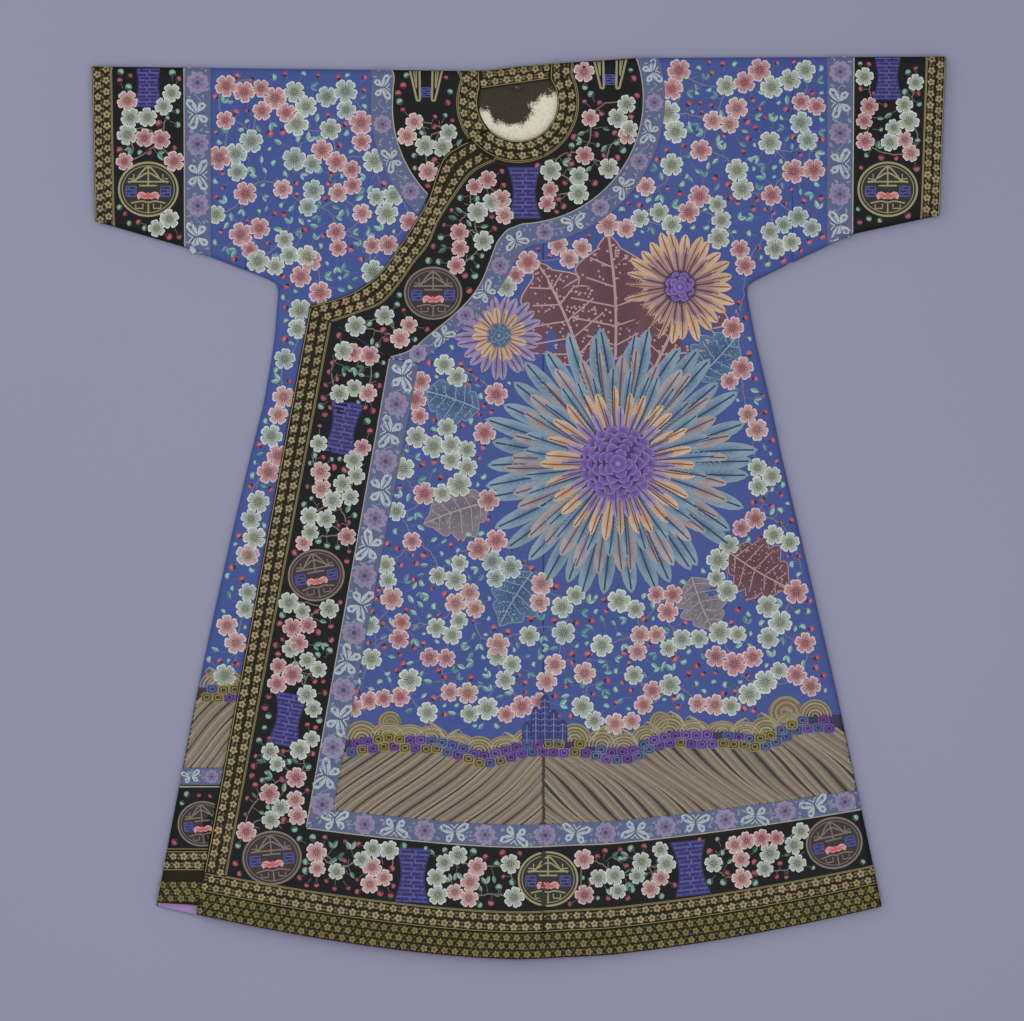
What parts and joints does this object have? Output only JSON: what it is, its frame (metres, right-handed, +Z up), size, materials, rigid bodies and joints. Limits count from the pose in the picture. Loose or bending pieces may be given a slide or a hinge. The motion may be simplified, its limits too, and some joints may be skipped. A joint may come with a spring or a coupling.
{
  "type": "fur-lined robe",
  "caption": "Wide-sleeved silk robe lined with fur, laid flat face up, with an overlapping front and banded neck, cuffs, closing edge and hem.",
  "frame": {"origin": "on the surface that the robe lies on, under the middle of its outline", "axes": "+Z up from that surface, +Y towards the shoulders, +X towards the wearer's left sleeve"},
  "size_m": [1.296, 1.372, 0.0211],
  "materials": {
    "blue_satin": "silk satin with embroidery in floss silk",
    "black_satin": "embroidered black silk satin",
    "gold_brocade": "dark silk brocaded with small gilt heads",
    "olive_brocade": "dark silk brocaded in olive gilt thread",
    "woven_ribbon": "light blue figured silk ribbon",
    "lilac_silk": "plain silk facing",
    "fur": "short dense fur, cream with a brown patch"
  },
  "bodies": {
    "root": {"back_right": "blue_satin", "back_left": "blue_satin", "hem_facing": "lilac_silk", "sleeve_right_back": "blue_satin", "sleeve_right_front": "blue_satin", "cuff_right_brocade": "gold_brocade", "cuff_right_border": "black_satin", "cuff_right_ribbon": "woven_ribbon", "sleeve_left_back": "blue_satin", "sleeve_left_front": "blue_satin", "cuff_left_brocade": "gold_brocade", "cuff_left_border": "black_satin", "cuff_left_ribbon": "woven_ribbon", "front_inner": "blue_satin", "inner_hem_selvedge": "olive_brocade", "inner_hem_brocade": "gold_brocade", "inner_hem_border": "black_satin", "inner_hem_ribbon": "woven_ribbon", "front_overlap": "blue_satin", "front_left": "blue_satin", "neck_band_left": "gold_brocade", "yoke_border_left": "black_satin", "yoke_ribbon_left": "woven_ribbon", "edge_brocade_curve": "gold_brocade", "side_brocade": "gold_brocade", "side_border": "black_satin", "side_ribbon": "woven_ribbon", "hem_selvedge": "olive_brocade", "hem_brocade": "gold_brocade", "hem_border": "black_satin", "hem_ribbon": "woven_ribbon", "neck_band_right": "gold_brocade", "yoke_border_right": "black_satin", "yoke_ribbon_right": "woven_ribbon", "neck_band_back": "gold_brocade", "neck_fur": "fur"}
  },
  "joints": []
}
